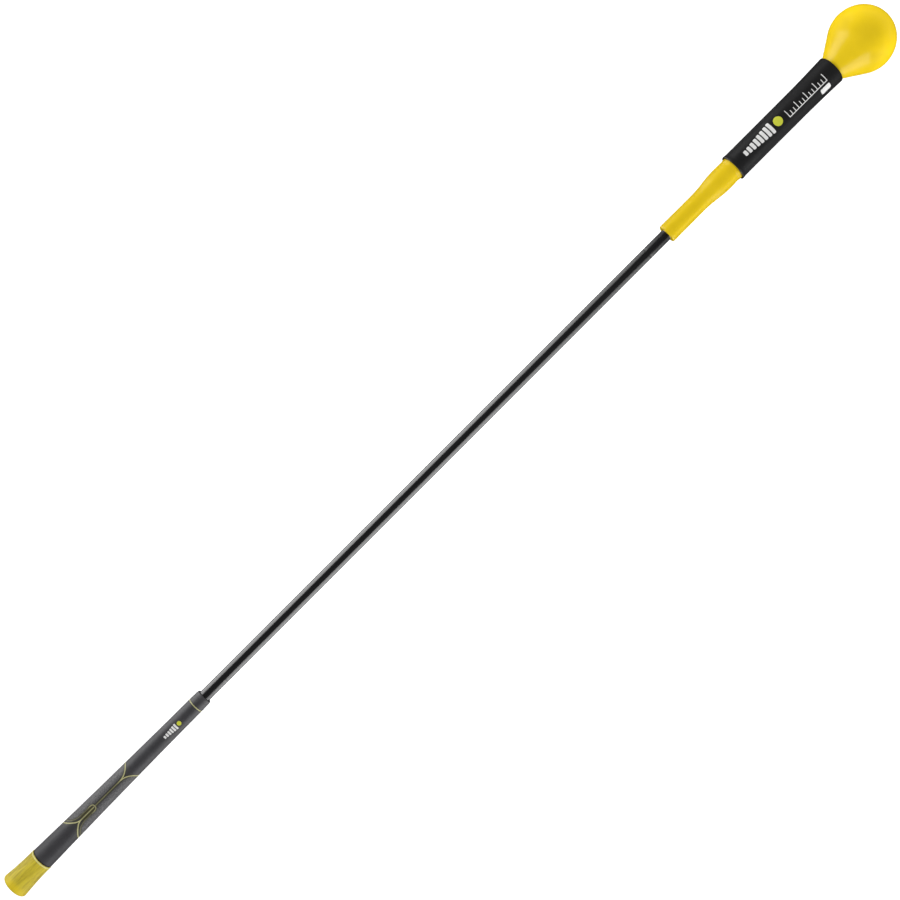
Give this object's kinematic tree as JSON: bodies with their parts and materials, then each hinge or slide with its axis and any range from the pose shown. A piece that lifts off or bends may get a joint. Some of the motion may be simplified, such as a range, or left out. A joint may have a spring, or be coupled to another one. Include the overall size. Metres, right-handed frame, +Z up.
{
  "type": "swing trainer stick",
  "caption": "Flexible golf swing trainer: a rubber grip on a slim fibreglass shaft with a weighted ball head that whips as it is swung.",
  "frame": {"origin": "centre of the grip's butt end face, on the stick's axis", "axes": "+X along the stick from the grip to the ball, +Z out of the side that carries the printed marks, +Y to the left of someone looking along +X with +Z up"},
  "size_m": [1.2192, 0.0674, 0.0674],
  "materials": {
    "grip_rubber": "matte",
    "cap_rubber": "satin",
    "line_rubber": "matte",
    "tape_paper": "matte",
    "rod_lacquer": "gloss",
    "head_vinyl": "satin",
    "cover_vinyl": "satin",
    "weight_steel": "satin",
    "pin_steel": "satin"
  },
  "bodies": {
    "handle": {"grip_body": "grip_rubber", "grip_cap": "cap_rubber", "grip_line_inlay": "line_rubber", "grip_ring_inlay": "line_rubber", "build_up_tape": "tape_paper", "grip_tape": "tape_paper", "shaft_butt_section": "rod_lacquer"},
    "flex_1": {"shaft_section_1": "rod_lacquer"},
    "flex_2": {"shaft_section_2": "rod_lacquer"},
    "flex_3": {"shaft_section_3": "rod_lacquer"},
    "flex_4": {"shaft_section_4": "rod_lacquer"},
    "flex_5": {"shaft_section_5": "rod_lacquer"},
    "flex_6": {"shaft_section_6": "rod_lacquer"},
    "flex_7": {"shaft_section_7": "rod_lacquer"},
    "flex_8": {"shaft_section_8": "rod_lacquer"},
    "flex_9": {"shaft_section_9": "rod_lacquer"},
    "flex_10": {"shaft_section_10": "rod_lacquer"},
    "flex_11": {"shaft_section_11": "rod_lacquer"},
    "head": {"taper_boot": "head_vinyl", "weight_tube": "weight_steel", "weight_cover": "cover_vinyl", "weight_tube_pin": "pin_steel", "ball_core": "weight_steel", "ball_core_pin": "pin_steel", "ball_shell": "head_vinyl", "shaft_tip_section": "rod_lacquer"}
  },
  "joints": [
    {"name": "shaft_side_bend_1", "type": "hinge", "parent": "handle", "child": "flex_1", "pos_m": [0.29361, 0, 0], "axis": [0, 0, 1], "range_deg": [-6, 6], "stiffness_Nm_per_rad": 1200},
    {"name": "shaft_lift_bend_1", "type": "hinge", "parent": "flex_1", "child": "flex_2", "pos_m": [0.34742, 0, 0], "axis": [0, -1, 0], "range_deg": [-6, 6], "stiffness_Nm_per_rad": 1200},
    {"name": "shaft_side_bend_2", "type": "hinge", "parent": "flex_2", "child": "flex_3", "pos_m": [0.40124, 0, 0], "axis": [0, 0, 1], "range_deg": [-5.44, 5.44]},
    {"name": "shaft_lift_bend_2", "type": "hinge", "parent": "flex_3", "child": "flex_4", "pos_m": [0.45506, 0, 0], "axis": [0, -1, 0], "range_deg": [-5.38, 5.38]},
    {"name": "shaft_side_bend_3", "type": "hinge", "parent": "flex_4", "child": "flex_5", "pos_m": [0.50887, 0, 0], "axis": [0, 0, 1], "range_deg": [-4.68, 4.68]},
    {"name": "shaft_lift_bend_3", "type": "hinge", "parent": "flex_5", "child": "flex_6", "pos_m": [0.56269, 0, 0], "axis": [0, -1, 0], "range_deg": [-4.57, 4.57]},
    {"name": "shaft_side_bend_4", "type": "hinge", "parent": "flex_6", "child": "flex_7", "pos_m": [0.61651, 0, 0], "axis": [0, 0, 1], "range_deg": [-3.91, 3.91]},
    {"name": "shaft_lift_bend_4", "type": "hinge", "parent": "flex_7", "child": "flex_8", "pos_m": [0.67032, 0, 0], "axis": [0, -1, 0], "range_deg": [-3.76, 3.76]},
    {"name": "shaft_side_bend_5", "type": "hinge", "parent": "flex_8", "child": "flex_9", "pos_m": [0.72414, 0, 0], "axis": [0, 0, 1], "range_deg": [-3.15, 3.15]},
    {"name": "shaft_lift_bend_5", "type": "hinge", "parent": "flex_9", "child": "flex_10", "pos_m": [0.77796, 0, 0], "axis": [0, -1, 0], "range_deg": [-2.94, 2.94]},
    {"name": "shaft_side_bend_6", "type": "hinge", "parent": "flex_10", "child": "flex_11", "pos_m": [0.83178, 0, 0], "axis": [0, 0, 1], "range_deg": [-2.38, 2.38]},
    {"name": "shaft_lift_bend_6", "type": "hinge", "parent": "flex_11", "child": "head", "pos_m": [0.88559, 0, 0], "axis": [0, -1, 0], "range_deg": [-2.13, 2.13]}
  ],
  "couplings": [
    {"joint": "shaft_side_bend_2", "follows": "shaft_side_bend_1", "ratio": 0.873},
    {"joint": "shaft_lift_bend_2", "follows": "shaft_lift_bend_1", "ratio": 0.864},
    {"joint": "shaft_side_bend_3", "follows": "shaft_side_bend_1", "ratio": 0.746},
    {"joint": "shaft_lift_bend_3", "follows": "shaft_lift_bend_1", "ratio": 0.728},
    {"joint": "shaft_side_bend_4", "follows": "shaft_side_bend_1", "ratio": 0.618},
    {"joint": "shaft_lift_bend_4", "follows": "shaft_lift_bend_1", "ratio": 0.593},
    {"joint": "shaft_side_bend_5", "follows": "shaft_side_bend_1", "ratio": 0.491},
    {"joint": "shaft_lift_bend_5", "follows": "shaft_lift_bend_1", "ratio": 0.457},
    {"joint": "shaft_side_bend_6", "follows": "shaft_side_bend_1", "ratio": 0.364},
    {"joint": "shaft_lift_bend_6", "follows": "shaft_lift_bend_1", "ratio": 0.321}
  ]
}
